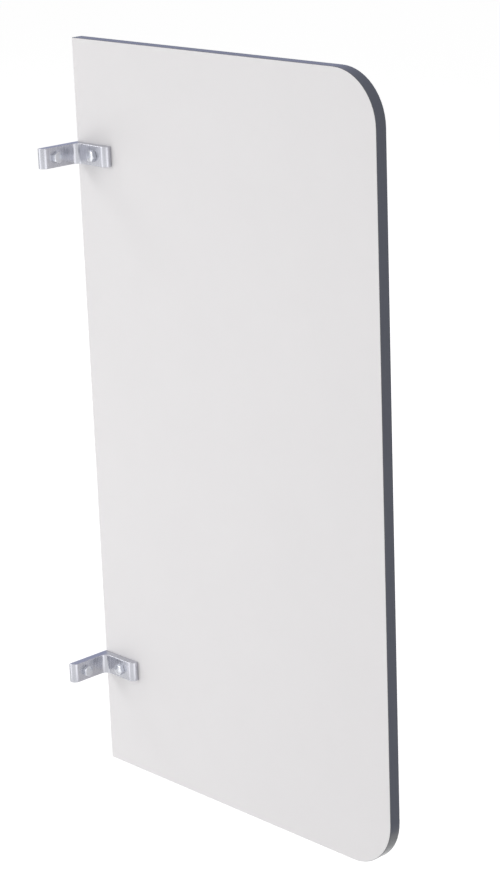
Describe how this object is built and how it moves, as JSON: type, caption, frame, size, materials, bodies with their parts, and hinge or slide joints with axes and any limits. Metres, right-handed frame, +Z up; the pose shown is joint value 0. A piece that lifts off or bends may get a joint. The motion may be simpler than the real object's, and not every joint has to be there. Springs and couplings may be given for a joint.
{
  "type": "urinal privacy screen",
  "caption": "Upright compact-laminate panel with pale faces, dark edges and rounded free corners, held to a wall along one side by thick angle brackets and hexagon-head bolts.",
  "frame": {"origin": "on the wall plane, midway between the two wall bolts", "axes": "+X out from the wall, +Z up, +Y towards the panel's rear face (its front face, which the picture shows, looks along -Y)"},
  "size_m": [0.412, 0.0766, 0.75],
  "materials": {
    "laminate_core": "machined phenolic laminate edge, matt",
    "white_decor": "fine matt decor face of the laminate",
    "satin_aluminium": "satin anodised extrusion",
    "stainless_steel": "bright stainless"
  },
  "bodies": {
    "root": {"panel_core": "laminate_core", "front_decor_face": "white_decor", "rear_decor_face": "white_decor", "upper_bracket": "satin_aluminium", "lower_bracket": "satin_aluminium", "upper_wall_bolt": "stainless_steel", "lower_wall_bolt": "stainless_steel", "upper_panel_bolt": "stainless_steel", "lower_panel_bolt": "stainless_steel", "upper_rear_washer": "stainless_steel", "lower_rear_washer": "stainless_steel", "upper_cap_nut": "stainless_steel", "lower_cap_nut": "stainless_steel"}
  },
  "joints": []
}
